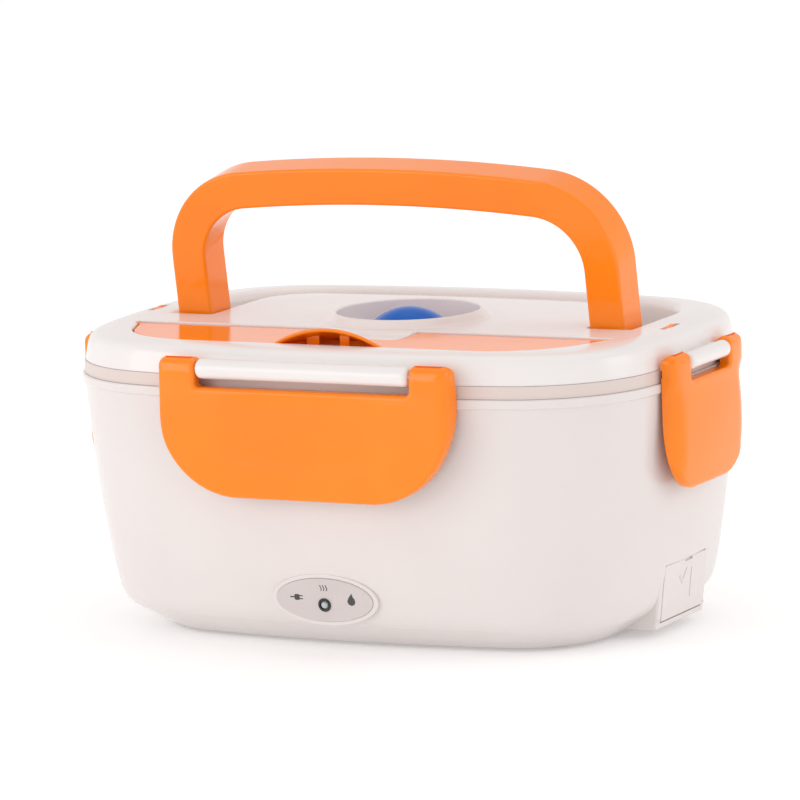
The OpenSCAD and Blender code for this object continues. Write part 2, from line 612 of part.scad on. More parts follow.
module latch_pins() color("silver") for (s = [-1, 1]) {
  l = latch_w_long - 3;
  tube_x(latch_pin_r, -l, l, s * wide_axis, latch_axis_z, 32);
  k = latch_w_short - 3;
  tube_y(latch_pin_r, -k, k, s * narrow_axis, narrow_z, 32);
}

base_shell();
inner_tub();
bottom_cover();
feet();
cover_screws();
heating_plate();
plate_seal();
ptc_heater();
heater_bracket();
bracket_screws();
thermostat();
thermal_fuse();
inlet_socket();
inlet_pins();
live_wire();
neutral_wire();
link_wire();
lamp_wires();
lamp_board();
lamp_led();
lamp_bezel();
lamp_plate();
socket_flap();
flap_pin();
container();
side_dish_box();
lid_shell();
lid_liner();
lid_gasket();
vent_plug();
vent_seal();
handle();
spoon_cover();
spoon();
latch_front();
latch_back();
latch_left();
latch_right();
latch_pins();
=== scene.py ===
import bpy
import json
import math
import numpy as np
from mathutils import Matrix, Vector
from mathutils.geometry import delaunay_2d_cdt

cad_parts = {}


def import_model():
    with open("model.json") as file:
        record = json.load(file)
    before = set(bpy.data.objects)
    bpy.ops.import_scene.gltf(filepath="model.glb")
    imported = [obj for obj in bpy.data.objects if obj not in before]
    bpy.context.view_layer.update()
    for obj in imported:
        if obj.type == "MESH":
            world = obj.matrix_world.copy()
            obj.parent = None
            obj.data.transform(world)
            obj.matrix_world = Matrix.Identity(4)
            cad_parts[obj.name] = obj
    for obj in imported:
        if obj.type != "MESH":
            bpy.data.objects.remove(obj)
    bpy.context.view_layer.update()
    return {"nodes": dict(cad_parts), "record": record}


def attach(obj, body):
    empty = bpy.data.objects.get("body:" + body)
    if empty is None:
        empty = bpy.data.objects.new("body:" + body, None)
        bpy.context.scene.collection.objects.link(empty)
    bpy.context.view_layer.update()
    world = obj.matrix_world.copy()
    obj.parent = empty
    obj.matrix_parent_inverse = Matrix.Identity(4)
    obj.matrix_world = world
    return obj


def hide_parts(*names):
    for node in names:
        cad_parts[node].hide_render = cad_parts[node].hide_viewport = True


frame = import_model()
scene = bpy.context.scene
SHIFT = [j["pos_m"][0] for j in frame["record"]["behaviour"]["joints"] if j["name"] == "handle_swing"][0]

# Pieces are modelled in millimetres, and scaled to metres when they are finished.
RL, RS, A, B, CR = 417.0, 258.0, 113.4, 81.8, 47.0
WIDE, NARROW, PIN_Z, DROP = B + 2.8, A + 3.5, 102.8, 2.4
sin, cos, pi, sqrt = math.sin, math.cos, math.pi, math.sqrt


# ---------------------------------------------------------------- camera
def make_camera():
    data = bpy.data.cameras.new("view")
    data.sensor_fit = "HORIZONTAL"
    data.sensor_width = 36.0
    data.lens = 308.8
    data.clip_start, data.clip_end = 0.05, 100.0
    ob = bpy.data.objects.new("view", data)
    scene.collection.objects.link(ob)
    az, el, roll = math.radians(26.66), math.radians(9.14), math.radians(-2.08)
    back = Vector((sin(az) * cos(el), -cos(az) * cos(el), sin(el)))
    right = Vector((cos(az), sin(az), 0))
    up = back.cross(right)
    cx = right * cos(roll) + up * sin(roll)
    cy = up * cos(roll) - right * sin(roll)
    m = Matrix((cx, cy, back)).transposed().to_4x4()
    m.translation = Vector((1.09682 + SHIFT, -2.19398, 0.47432))
    ob.matrix_world = m
    scene.camera = ob


make_camera()


# ---------------------------------------------------------------- outlines and paths
def corner_c(a, b, r):
    c1, c2 = np.array([0, -(RL - b)]), np.array([-(RS - a), 0])
    d1, d2 = RL - r, RS - r
    dd = np.linalg.norm(c2 - c1)
    ex = (c2 - c1) / dd
    x = (d1 * d1 - d2 * d2 + dd * dd) / (2 * dd)
    h = sqrt(max(d1 * d1 - x * x, 0))
    ey = np.array([-ex[1], ex[0]])
    p, q = c1 + ex * x + ey * h, c1 + ex * x - ey * h
    return p if p[0] > 0 and p[1] > 0 else q


def ring(o, ns=7, nc=26, nl=12):
    """Body outline offset by o: four shallow arcs joined by four corner arcs."""
    a, b, r = A + o, B + o, CR + 0.6 * o
    c = corner_c(a, b, r)
    c1, c2 = np.array([0, -(RL - b)]), np.array([-(RS - a), 0])
    t1, t2 = math.atan2(c[1] - c1[1], c[0]), math.atan2(c[1], c[0] - c2[0])
    q = [c2 + RS * np.array([cos(t2 * i / ns), sin(t2 * i / ns)]) for i in range(ns)]
    q += [c + r * np.array([cos(t2 + (t1 - t2) * i / nc), sin(t2 + (t1 - t2) * i / nc)]) for i in range(nc)]
    q += [c1 + RL * np.array([cos(t1 + (pi / 2 - t1) * i / nl), sin(t1 + (pi / 2 - t1) * i / nl)]) for i in range(nl)]
    q = [(float(p[0]), float(p[1])) for p in q]
    return (q + [(0.0, b)] + [(-x, y) for x, y in q[:0:-1]] + [(-x, -y) for x, y in q]
            + [(0.0, -b)] + [(x, -y) for x, y in q[:0:-1]])


def fillet(path, closed=False, n=5):
    """Rounds each corner of a path. A point is (u, v) or (u, v, radius)."""
    out, m = [], len(path)
    for i, p in enumerate(path):
        r = p[2] if len(p) > 2 else 0
        if r <= 0 or (not closed and i in (0, m - 1)):
            out.append((p[0], p[1]))
            continue
        a, b, c = (np.array(path[j % m][:2], float) for j in (i - 1, i, i + 1))
        u, v = a - b, c - b
        lu, lv = np.linalg.norm(u), np.linalg.norm(v)
        u, v = u / lu, v / lv
        half = math.acos(max(-1, min(1, float(u @ v)))) / 2
        if half > 1.55:
            out.append((p[0], p[1]))
            continue
        t = min(r / math.tan(half), 0.49 * lu, 0.49 * lv)
        r = t * math.tan(half)
        w = (u + v) / np.linalg.norm(u + v)
        o = b + w * (r / sin(half))
        s, e = b + u * t - o, b + v * t - o
        full = math.acos(max(-1, min(1, float(s @ e) / (r * r))))
        for k in range(n + 1):
            f = k / n
            q = (sin((1 - f) * full) * s + sin(f * full) * e) / sin(full)
            out.append((float(o[0] + q[0]), float(o[1] + q[1])))
    return out


def curve(points, n=5):
    """A smooth curve through the points, with n steps between neighbours."""
    p = [np.array(q, float) for q in points]
    out = []
    for i in range(len(p) - 1):
        a, b, c, d = p[max(i - 1, 0)], p[i], p[i + 1], p[min(i + 2, len(p) - 1)]
        for k in range(n):
            t = k / n
            q = 0.5 * (2 * b + (c - a) * t + (2 * a - 5 * b + 4 * c - d) * t * t + (3 * b - a - 3 * c + d) * t ** 3)
            out.append(tuple(float(x) for x in q))
    return out + [tuple(float(x) for x in p[-1])]


# ---------------------------------------------------------------- meshes
def obj(name, verts, faces):
    me = bpy.data.meshes.new(name)
    me.from_pydata([tuple(float(c) for c in v) for v in verts], [], faces)
    me.validate()
    me.update()
    ob = bpy.data.objects.new(name, me)
    scene.collection.objects.link(ob)
    return ob


def stack(name, layers, closed=False):
    """layers: closed outlines [(x, y, z), ...] of equal length, joined into one solid."""
    n, m = len(layers[0]), len(layers)
    verts = [p for la in layers for p in la]
    faces = []
    for i in range(m if closed else m - 1):
        k = (i + 1) % m
        for j in range(n):
            l = (j + 1) % n
            faces.append((i * n + j, i * n + l, k * n + l, k * n + j))
    if not closed:
        faces.append(tuple(range(n - 1, -1, -1)))
        faces.append(tuple((m - 1) * n + j for j in range(n)))
    ob = obj(name, verts, faces)
    fix_normals(ob)
    return ob


def fix_normals(ob):
    import bmesh
    bm = bmesh.new()
    bm.from_mesh(ob.data)
    bmesh.ops.remove_doubles(bm, verts=bm.verts, dist=1e-5)
    bmesh.ops.dissolve_degenerate(bm, edges=bm.edges, dist=1e-6)
    bmesh.ops.recalc_face_normals(bm, faces=bm.faces)
    bm.to_mesh(ob.data)
    bm.free()
    ob.data.update()


def loft(name, path, closed=False):
    return stack(name, [[(x, y, z) for x, y in ring(o)] for o, z in path], closed)


def prism(name, outline, layers, place=None):
    """outline(o) gives an outline grown by o, layers are (o, z); place maps (x, y, z) elsewhere."""
    ob = stack(name, [[(x, y, z) for x, y in outline(o)] for o, z in layers])
    if place is not None:
        ob.data.transform(place)
        fix_normals(ob)
    return ob


def flare(z0, z1, f, over=1.5, n=6):
    """Layers of a cutter whose mouth at height z1 opens in a quarter circle of radius f."""
    out = [(0, z0), (0, z1 - f)]
    out += [(f - f * cos(pi / 2 * k / n), z1 - f + f * sin(pi / 2 * k / n)) for k in range(1, n + 1)]
    return out + [(f, z1 + over)]


def rounded(z0, z1, f, g=None, n=5):
    """Layers of a solid whose lower and upper edges are rounded by g and f."""
    g = f if g is None else g
    low = [(-g + g * sin(pi / 2 * k / n), z0 + g - g * cos(pi / 2 * k / n)) for k in range(n + 1)] if g > 0 else [(0, z0)]
    top = [(-f + f * cos(pi / 2 * k / n), z1 - f + f * sin(pi / 2 * k / n)) for k in range(n + 1)] if f > 0 else [(0, z1)]
    return low + top


def circle(r, x=0.0, y=0.0, n=96):
    return lambda o: [(x + (r + o) * cos(2 * pi * i / n), y + (r + o) * sin(2 * pi * i / n)) for i in range(n)]


def oval(a, b, n=96):
    return lambda o: [((a + o) * cos(2 * pi * i / n), (b + o) * sin(2 * pi * i / n)) for i in range(n)]


def rect(x0, y0, x1, y1, r, n=8):
    def f(o):
        a, b, c, d, q = x0 - o, y0 - o, x1 + o, y1 + o, max(r + o, 0.05)
        out = []
        for cx, cy, t in ((c - q, b + q, -pi / 2), (c - q, d - q, 0), (a + q, d - q, pi / 2), (a + q, b + q, pi)):
            out += [(cx + q * cos(t + pi / 2 * k / n), cy + q * sin(t + pi / 2 * k / n)) for k in range(n + 1)]
        return out
    return f


def lathe(name, profile, place=None, n=96):
    """profile: (radius, height), from the axis to the axis."""
    ob = stack(name, [[(max(r, 1e-4) * cos(2 * pi * i / n), max(r, 1e-4) * sin(2 * pi * i / n), z) for i in range(n)]
                      for r, z in profile])
    if place is not None:
        ob.data.transform(place)
        fix_normals(ob)
    return ob


ALONG_X = Matrix(((0, 0, 1, 0), (1, 0, 0, 0), (0, 1, 0, 0), (0, 0, 0, 1)))
ALONG_Y = Matrix(((0, 1, 0, 0), (0, 0, 1, 0), (1, 0, 0, 0), (0, 0, 0, 1)))


def at(x, y, z):
    return Matrix.Translation((x, y, z))


def evaluated(ob):
    dg = bpy.context.evaluated_depsgraph_get()
    dg.update()
    me = bpy.data.meshes.new_from_object(ob.evaluated_get(dg))
    ob.modifiers.clear()
    ob.data = me


def boolean(a, b, op="DIFFERENCE"):
    m = a.modifiers.new("cut", "BOOLEAN")
    m.operation, m.object, m.solver = op, b, "EXACT"
    before = len(a.data.polygons)
    keep = a.data
    evaluated(a)
    if len(a.data.polygons) == 0 and before:
        print("boolean emptied", a.name, "with", b.name)
        a.data = keep
    bpy.data.objects.remove(b)
    return a


def cut(a, *others):
    for b in others:
        boolean(a, b, "DIFFERENCE")
    return a


def unite(a, *others):
    for b in others:
        boolean(a, b, "UNION")
    return a


def join(a, *others):
    import bmesh
    bm = bmesh.new()
    bm.from_mesh(a.data)
    for b in others:
        bm.from_mesh(b.data)
        bpy.data.objects.remove(b)
    bm.to_mesh(a.data)
    bm.free()
    return a


def bevel(ob, width, angle=35, segments=3):
    m = ob.modifiers.new("edge", "BEVEL")
    m.width, m.segments, m.limit_method = width, segments, "ANGLE"
    m.angle_limit = math.radians(angle)
    m.harden_normals = False
    m.use_clamp_overlap = True
    evaluated(ob)
    return ob


def done(ob, body, material, nodes=(), angle=32):
    """Finishes a piece: metres, smooth shading with true edges, material, body, and hides the CAD nodes it replaces."""
    ob.data.transform(Matrix.Translation((SHIFT, 0, 0)) @ Matrix.Scale(0.001, 4))
    ob.data.shade_smooth()
    ob.data.set_sharp_from_angle(angle=math.radians(angle))
    ob.data.materials.clear()
    ob.data.materials.append(material)
    w = ob.modifiers.new("normals", "WEIGHTED_NORMAL")
    w.keep_sharp, w.weight = True, 60
    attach(ob, body)
    if nodes:
        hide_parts(*nodes)
    return ob


# ---------------------------------------------------------------- materials
def material(name, colour, other, rough, spread=0.06, grain=1400.0, bump=0.03, depth=0.00006, metallic=0.0,
             coat=0.0, subsurface=0.0, patch=28.0, specular=0.5, stretch=None, transmission=0.0):
    """Moulded plastic and the like: colour drifts slowly between two shades, with fine grain in gloss and surface."""
    m = bpy.data.materials.new(name)
    m.use_nodes = True
    nt = m.node_tree
    nt.nodes.clear()
    out = nt.nodes.new("ShaderNodeOutputMaterial")
    b = nt.nodes.new("ShaderNodeBsdfPrincipled")
    tc = nt.nodes.new("ShaderNodeTexCoord")
    link = nt.links.new
    link(b.outputs[0], out.inputs[0])
    src = tc.outputs["Object"]
    if stretch is not None:
        mp = nt.nodes.new("ShaderNodeMapping")
        mp.inputs["Scale"].default_value = stretch
        link(src, mp.inputs[0])
        src = mp.outputs[0]
    n1 = nt.nodes.new("ShaderNodeTexNoise")
    n1.inputs["Scale"].default_value = patch
    n1.inputs["Detail"].default_value = 4.0
    link(src, n1.inputs["Vector"])
    ramp = nt.nodes.new("ShaderNodeValToRGB")
    ramp.color_ramp.elements[0].position = 0.3
    ramp.color_ramp.elements[0].color = (*colour, 1)
    ramp.color_ramp.elements[1].position = 0.72
    ramp.color_ramp.elements[1].color = (*other, 1)
    link(n1.outputs["Fac"], ramp.inputs[0])
    link(ramp.outputs[0], b.inputs["Base Color"])
    n2 = nt.nodes.new("ShaderNodeTexNoise")
    n2.inputs["Scale"].default_value = grain
    n2.inputs["Detail"].default_value = 3.0
    link(src, n2.inputs["Vector"])
    rng = nt.nodes.new("ShaderNodeMapRange")
    rng.inputs["To Min"].default_value = max(rough - spread, 0.02)
    rng.inputs["To Max"].default_value = rough + spread
    n3 = nt.nodes.new("ShaderNodeTexNoise")
    n3.inputs["Scale"].default_value = patch * 5
    n3.inputs["Detail"].default_value = 5.0
    link(src, n3.inputs["Vector"])
    link(n3.outputs["Fac"], rng.inputs["Value"])
    link(rng.outputs[0], b.inputs["Roughness"])
    bp = nt.nodes.new("ShaderNodeBump")
    bp.inputs["Strength"].default_value = bump
    bp.inputs["Distance"].default_value = depth
    link(n2.outputs["Fac"], bp.inputs["Height"])
    link(bp.outputs[0], b.inputs["Normal"])
    b.inputs["Metallic"].default_value = metallic
    b.inputs["Coat Weight"].default_value = coat
    b.inputs["Coat Roughness"].default_value = 0.08
    b.inputs["Specular IOR Level"].default_value = specular
    if subsurface:
        b.inputs["Subsurface Weight"].default_value = subsurface
        b.inputs["Subsurface Radius"].default_value = (1.0, 0.8, 0.7)
        b.inputs["Subsurface Scale"].default_value = 0.002
    if transmission:
        b.inputs["Transmission Weight"].default_value = transmission
    return m


WHITE = material("white_gloss", (0.745, 0.69, 0.672), (0.765, 0.712, 0.694), 0.20, 0.04)
# painted light: the lid's white is the body white made brighter, standing in for the extra light the lid gets from
# above and front
WHITE_LID_PAINTED_LIGHT = material("white_lid_painted_light", (0.81, 0.768, 0.752), (0.83, 0.788, 0.772), 0.20, 0.04)
INNER = material("white_satin", (0.80, 0.785, 0.765), (0.84, 0.825, 0.81), 0.38, 0.05, bump=0.06)
ORANGE = material("orange_gloss", (0.98, 0.222, 0.002), (1.0, 0.248, 0.004), 0.13, 0.03, specular=0.42)
GREY = material("milky_grey", (0.69, 0.585, 0.545), (0.73, 0.62, 0.58), 0.40, 0.06, bump=0.08)
BLUE = material("blue_gloss", (0.0, 0.105, 0.52), (0.0, 0.13, 0.59), 0.24, 0.05, specular=0.2)
PANEL = material("panel_grey", (0.60, 0.545, 0.535), (0.65, 0.59, 0.58), 0.34, 0.05, bump=0.06)
PANEL_EDGE = material("panel_edge", (0.36, 0.33, 0.33), (0.42, 0.39, 0.385), 0.4, 0.05, bump=0.06)
PRINT = material("print_dark", (0.045, 0.045, 0.05), (0.07, 0.07, 0.075), 0.5, 0.06)
BLACK = material("black_plastic", (0.016, 0.016, 0.016), (0.03, 0.03, 0.03), 0.36, 0.06)
RUBBER = material("grey_rubber", (0.10, 0.10, 0.105), (0.15, 0.15, 0.155), 0.72, 0.08, grain=900, bump=0.25, depth=0.0002)
SILICONE = material("silicone", (0.62, 0.60, 0.57), (0.70, 0.68, 0.65), 0.5, 0.06, subsurface=0.2, bump=0.08)
RED_SILICONE = material("red_silicone", (0.36, 0.04, 0.02), (0.46, 0.06, 0.03), 0.55, 0.06, bump=0.1)
ALUMINIUM = material("aluminium", (0.72, 0.73, 0.74), (0.82, 0.83, 0.84), 0.30, 0.08, metallic=1.0, grain=300, bump=0.15, stretch=(30, 1, 1))
STEEL = material("steel", (0.58, 0.58, 0.58), (0.70, 0.70, 0.69), 0.26, 0.08, metallic=1.0, grain=500, bump=0.08)
HEATER = material("heater_block", (0.05, 0.045, 0.04), (0.09, 0.08, 0.07), 0.6, 0.08, bump=0.2)
WIRE_RED = material("wire_red", (0.46, 0.012, 0.01), (0.58, 0.02, 0.016), 0.42, 0.06)
WIRE_BLUE = material("wire_blue", (0.02, 0.07, 0.38), (0.03, 0.10, 0.46), 0.42, 0.06)
WIRE_YELLOW = material("wire_yellow", (0.60, 0.42, 0.03), (0.70, 0.52, 0.05), 0.42, 0.06)
BOARD = material("board_green", (0.012, 0.12, 0.045), (0.02, 0.17, 0.06), 0.38, 0.08, bump=0.1)
LENS = material("milky_lens", (0.46, 0.48, 0.50), (0.56, 0.58, 0.60), 0.22, 0.04, subsurface=0.15)
CERAMIC = material("thermostat_body", (0.42, 0.28, 0.15), (0.54, 0.37, 0.20), 0.5, 0.08, bump=0.15)
FLOOR = material("floor", (0.93, 0.93, 0.93), (0.95, 0.95, 0.95), 0.9, 0.03, patch=0.7, grain=60, bump=0.01, specular=0.1)

SLOT_OF = {"white_shell": WHITE, "white_inner": INNER, "orange": ORANGE, "container_grey": GREY, "blue": BLUE,
           "panel_grey": PANEL, "black": BLACK, "rubber_grey": RUBBER, "silicone": SILICONE, "red_silicone": RED_SILICONE,
           "aluminium": ALUMINIUM, "steel": STEEL, "heater_body": HEATER, "wire_red": WIRE_RED, "wire_blue": WIRE_BLUE,
           "wire_yellow": WIRE_YELLOW, "board_green": BOARD, "lens": LENS, "ceramic": CERAMIC}
for part in frame["record"]["subparts"]:
    node = frame["nodes"].get(part["node"])
    if node is not None:
        node.data.materials.clear()
        node.data.materials.append(SLOT_OF[part["material_slot"]])


# ---------------------------------------------------------------- base
LAMP = at(0, -74.3, 19.7) @ Matrix.Rotation(math.radians(97), 4, "X")
FLAP = at(102.3, 0, 5.6) @ Matrix.Rotation(math.radians(7), 4, "Y")


def box_cutter(name, lo, hi, r=0.4, place=None):
    return prism(name, rect(lo[0], lo[1], hi[0], hi[1], r), [(0, lo[2]), (0, hi[2])], place)


def base_shell():
    wall = curve([(-13.0, 9.55), (-11.05, 11.6), (-9.6, 14.4), (-8.75, 17.6), (-7.9, 21.5), (-7.15, 25.5), (-6.45, 30),
                  (-4.95, 40), (-3.6, 50), (-2.6, 60), (-1.65, 70), (-0.8, 80), (-0.15, 89.6)], 4)
    path = fillet([(-38, 3.3), (-28.2, 3.3, 0.2), (-28.2, 1.2, 0.3), (-26.3, 1.2, 1.2), (-15.6, 7.95, 3.0)]) + wall
    path += fillet([(-0.15, 90.0), (-0.08, 90.75, 0.3), (0.95, 91.35, 0.55), (1.0, 94.15, 0.55), (0.4, 94.4, 0.3), (-0.9, 94.4, 0.2),
                    (-0.9, 92.2), (-2.4, 92.2), (-4.8, 60), (-8.65, 30), (-12.6, 14.6), (-16.9, 10), (-25, 5.3), (-38, 5.3)])
    ob = loft("base_shell_looks", path, True)
    # housing of the power inlet
    side = [(84, 3.3), (102.7, 3.3), (105.8, 28.5), (84, 28.5)]
    house = obj("house", [(x, y, z) for y in (-18, 23) for x, z in side],
                [(0, 1, 2, 3), (7, 6, 5, 4), (0, 4, 5, 1), (1, 5, 6, 2), (2, 6, 7, 3), (3, 7, 4, 0)])
    fix_normals(house)
    bevel(house, 1.1, 30, 4)
    boss = prism("boss", oval(21.0, 9.6), [(0, -8)] + rounded(-2, 0, 0.5, 0), LAMP)
    unite(ob, house, boss)
    cut(ob,
        box_cutter("seat", (-1.3, -15.3, 0), (4, 20.3, 21.2), 0.6, FLAP),
        box_cutter("way", (80, -9.5, 8.5), (110, 14.5, 22.5), 0.3),
        prism("lamp_seat", oval(19.2, 8.1), [(0, -0.5), (0, 4)], LAMP),
        prism("lamp_hole", circle(2.3, 0, -1.7, 40), [(0, -12), (0, 2)], LAMP),
        lathe("dimple", [(0, -1.4), (0.9, -1.3), (1.5, -0.9), (1.9, 0), (2.1, 3), (0, 3)],
              at(-58.8, -73.0, 20.5) @ Matrix.Rotation(math.radians(97), 4, "X"), 32))
    return done(ob, "base", WHITE, ["base_shell"])


def inner_tub():
    ob = loft("inner_tub_looks", fillet([(-17.4, 40), (-15.8, 41.4, 2.5), (-9, 94.4), (-1, 94.4, 0.2), (-1, 92.2),
                                         (-7.4, 92.2, 1), (-14.1, 39.4, 2), (-15.6, 38.2)]))
    cut(ob, prism("hole", circle(36.0), [(0, 30), (0, 50)]))
    return done(ob, "base", INNER, ["inner_tub"])


def lamp_parts():
    plate = prism("lamp_plate_looks", oval(19.1, 8.0), rounded(-0.5, 0.4, 0.28, 0), LAMP)
    rim = prism("rim", oval(18.75, 7.65), [(0, 0.3), (0, 0.37)], LAMP)
    cut(rim, prism("in", oval(18.6, 7.5), [(0, 0), (0, 1)], LAMP))
    cut(plate, prism("hole", circle(2.1, 0, -1.7, 48), [(0, -3), (0, 3)], LAMP))
    done(plate, "base", PANEL, ["lamp_plate"])
    done(rim, "base", PANEL_EDGE)
    bezel = lathe("lamp_bezel_looks", [(1.5, -5), (2.05, -5), (2.05, 0.4), (2.42, 0.44), (2.5, 0.66), (2.3, 0.9), (1.9, 0.98),
                                       (1.62, 0.86), (1.5, 0.5), (1.5, -5)], LAMP @ at(0, -1.7, 0), 64)
    done(bezel, "base", BLACK, ["lamp_bezel"])
    # generic pictograms: a plug on the left, a flame on the right, three heat strokes above
    marks = []

    def stroke(name, pts, w):
        pts = [np.array(p, float) for p in pts]
        left, right = [], []
        for i, p in enumerate(pts):
            d = pts[min(i + 1, len(pts) - 1)] - pts[max(i - 1, 0)]
            d /= np.linalg.norm(d)
            n = np.array([-d[1], d[0]]) * w / 2
            left.append(p + n)
            right.append(p - n)
        poly = [(float(q[0]), float(q[1])) for q in left + right[::-1]]
        marks.append(stack(name, [[(x, y, z) for x, y in poly] for z in (0.34, 0.46)]))

    for x in (-1.1, 0, 1.1):
        stroke("heat", [(x + 0.24 * sin(t * 1.5 * pi), 3.5 + 2.1 * t) for t in [i / 10 for i in range(11)]], 0.3)
    cx, cy = -10.5, 0.9
    stroke("lead", [(cx - 3.0, cy - 0.2), (cx - 1.2, cy - 0.2)], 0.45)
    marks.append(prism("plug", rect(cx - 1.3, cy - 1.3, cx + 0.7, cy + 0.9, 0.6), [(0, 0.34), (0, 0.46)]))
    for dy in (-0.75, 0.35):
        stroke("prong", [(cx + 0.6, cy + dy), (cx + 2.0, cy + dy)], 0.36)
    cx, cy = 10.7, 0.5
    fl = [(0, -2.0), (1.1, -1.6), (1.55, -0.6), (1.3, 0.5), (0.6, 1.3), (0.35, 2.5), (-0.5, 1.6), (-1.2, 0.6), (-1.6, -0.5), (-1.1, -1.6)]
    marks.append(stack("flame", [[(cx + x, cy + y, z) for x, y in fl] for z in (0.34, 0.46)]))
    for mk in marks:
        mk.data.transform(LAMP)
    first = join(marks[0], *marks[1:])
    fix_normals(first)
    first.name = "lamp_marks"
    done(first, "base", PRINT)


def socket_flap():
    ob = prism("socket_flap_looks", rect(-15, 1.2, 20, 20.9, 1.2), rounded(-1, 1, 0.45, 0.2), Matrix(((0, 0, 1, 0), (1, 0, 0, 0), (0, 1, 0, 0), (0, 0, 0, 1))))
    hinge = lathe("hinge", [(0, -15), (1, -15), (1, 20), (0, 20)], ALONG_Y @ at(0, 0, 0), 40)
    hinge.data.transform(at(0, 0, 1.2))
    unite(ob, hinge)
    cut(ob, box_cutter("notch", (0.2, 2.5, 19.6), (2, 8.5, 22), 0.3))
    # raised chevron and line that show where to pull
    marks = []
    for pts in ([(-1.4, 14.6), (0.6, 12.4), (4.4, 16.9)], [(8.6, 6.0), (8.6, 16.5)]):
        p = [np.array(q, float) for q in pts]
        for a, b in zip(p, p[1:]):
            d = (b - a) / np.linalg.norm(b - a)
            n = np.array([-d[1], d[0]]) * 0.42
            a2, b2 = a - d * 0.2, b + d * 0.2
            quad = [a2 + n, b2 + n, b2 - n, a2 - n]
            marks.append(stack("mark", [[(x, float(q[0]), float(q[1])) for q in quad] for x in (0.9, 1.22)]))
    ob = join(ob, *marks)
    ob.data.transform(FLAP)
    fix_normals(ob)
    ob.data.update()
    return done(ob, "socket_flap", WHITE, ["socket_flap"])


# ---------------------------------------------------------------- food containers
def containers():
    ob = loft("container_looks", fillet([(-19.6, 42.6, 0.6), (-18.6, 41, 1.2), (-16.9, 43, 2.0), (-9.9, 92), (-9.9, 97.3, 0.6), (-1.5, 97.3, 0.3),
                                         (-1.5, 94.45, 0.05), (0.1, 94.45, 0.15), (0.1, 99.05, 0.15), (-11.2, 98.9, 0.5), (-11.2, 92.2),
                                         (-18.2, 43.8, 1.8)], True), False)
    done(ob, "container", GREY, ["container"])
    side = prism("side_dish_looks", rect(24, -47, 84, 47, 18, 16), [(0, 42.9 + 2)] + [(0, 87)])
    bpy.data.objects.remove(side)
    outer = [(-2.2 + 2.2 * sin(t * pi / 2), 45.1 - 2.2 * cos(t * pi / 2)) for t in [i / 6 for i in range(7)]]
    path = outer + fillet([(0, 80), (0, 85.4, 0.3), (2.5, 85.4, 0.3), (2.5, 87, 0.4), (-1.4, 87, 0.5), (-1.4, 80)])
    path += [(-1.4 - 1.6 + 1.6 * cos(t * pi / 2), 45.9 - 1.6 * sin(t * pi / 2)) for t in [i / 6 for i in range(7)]]
    side = prism("side_dish_looks", rect(24, -47, 84, 47, 18, 16), path)
    done(side, "side_dish", INNER, ["side_dish_box"])


# ---------------------------------------------------------------- lid
def cover_outline(o, n=26, rear=0.9, notch=None):
    """Spoon cover outline grown by o. notch = (half width, front, corner) cuts the rear edge."""
    r, t1 = 36 + o, math.radians(70)
    cx, cy = 56.0, -30.5
    e = (cx + r * sin(t1), cy - r * cos(t1))
    yr = -30.5 + o
    l = (yr - e[1]) / sin(t1)
    half = [(0.0, cy - r), (20.0, cy - r), (40.0, cy - r)]
    half += [(cx + r * sin(t1 * i / n), cy - r * cos(t1 * i / n)) for i in range(n + 1)]
    tail = [half[-1], (e[0] + l * cos(t1), yr, rear)]
    if notch is None:
        tail += [(0.0, yr)]
        half = half[:-1] + fillet(tail)
    else:
        w, f, c = notch
        w, f, c = w - o, f + o, max(c - o, 0.3)
        tail += [(w, yr, 0.6), (w, f, c), (0.0, f)]
        half = half[:-1] + fillet(tail)
    return half + [(-x, y) for x, y in half[-2:0:-1]]


def arch(x, top, rad, cr, n=14, m=8):
    c = sqrt((rad - cr) ** 2 - (x - cr) ** 2) + top - rad
    t = math.atan2(c - (top - rad), x - cr)
    out = [(x - cr + cr * cos(t * i / n), c + cr * sin(t * i / n)) for i in range(n + 1)]
    return out + [(rad * cos(t + (pi / 2 - t) * i / m), top - rad + rad * sin(t + (pi / 2 - t) * i / m)) for i in range(1, m + 1)]


def groove_outline(o):
    """Outline of the handle's groove and slots. o = (growth of the outer edge, of the inner edge, of the slots' front)."""
    q, g, k = (0.8 + v for v in o)
    outer = arch(89.6 + q, 63.9 + q, 640 + q, 33 + q)
    inner = arch(76.0 - g, 50.3 - g, 620 - g, 20 - g)
    y0 = -9.4 - k
    rt = fillet([(76.0 - g, 3.0), (76.0 - g, y0, 1.4), (89.6 + q, y0, 1.4), (89.6 + q, 3.0)])
    out = rt + outer
    out += [(-x, y) for x, y in outer[-2::-1]]
    out += [(-x, y) for x, y in rt[::-1]]
    out += [(-x, y) for x, y in inner]
    out += inner[-2::-1]
    return out


def groove_layers():
    out = [((0, 0, 0), 95.5), ((0, 0, 0), 106.6)]
    for k in range(1, 13):
        t = pi / 2 * k / 12
        z = 106.6 + 3.4 * sin(t)
        small = 0.0
        if z > 109.4:
            small = 0.6 - sqrt(max(0.36 - (z - 109.4) ** 2, 0))
        out.append(((3.4 * (1 - cos(t)), small, small), z))
    return out + [((3.4, 0.6, 0.6), 111.5)]


def barrel(axis, half, along):
    r, e = (3.6, 2.0) if along == "x" else (3.1, 2.0)
    prof = [(0, -half)] + [(r - e + e * sin(t), -half + e - e * cos(t)) for t in [pi / 2 * i / 6 for i in range(7)]]
    prof += [(r - e + e * cos(t), half - e + e * sin(t)) for t in [pi / 2 * i / 6 for i in range(7)]] + [(0, half)]
    if along == "x":
        return lathe("barrel", prof, at(0, axis, PIN_Z) @ ALONG_X, 48)
    return lathe("barrel", prof, at(axis, 0, PIN_Z - DROP) @ ALONG_Y, 48)


def web(lo, hi, r=0.8):
    return prism("web", rect(lo[0], lo[1], hi[0], hi[1], r), rounded(lo[2], hi[2], 0.5))


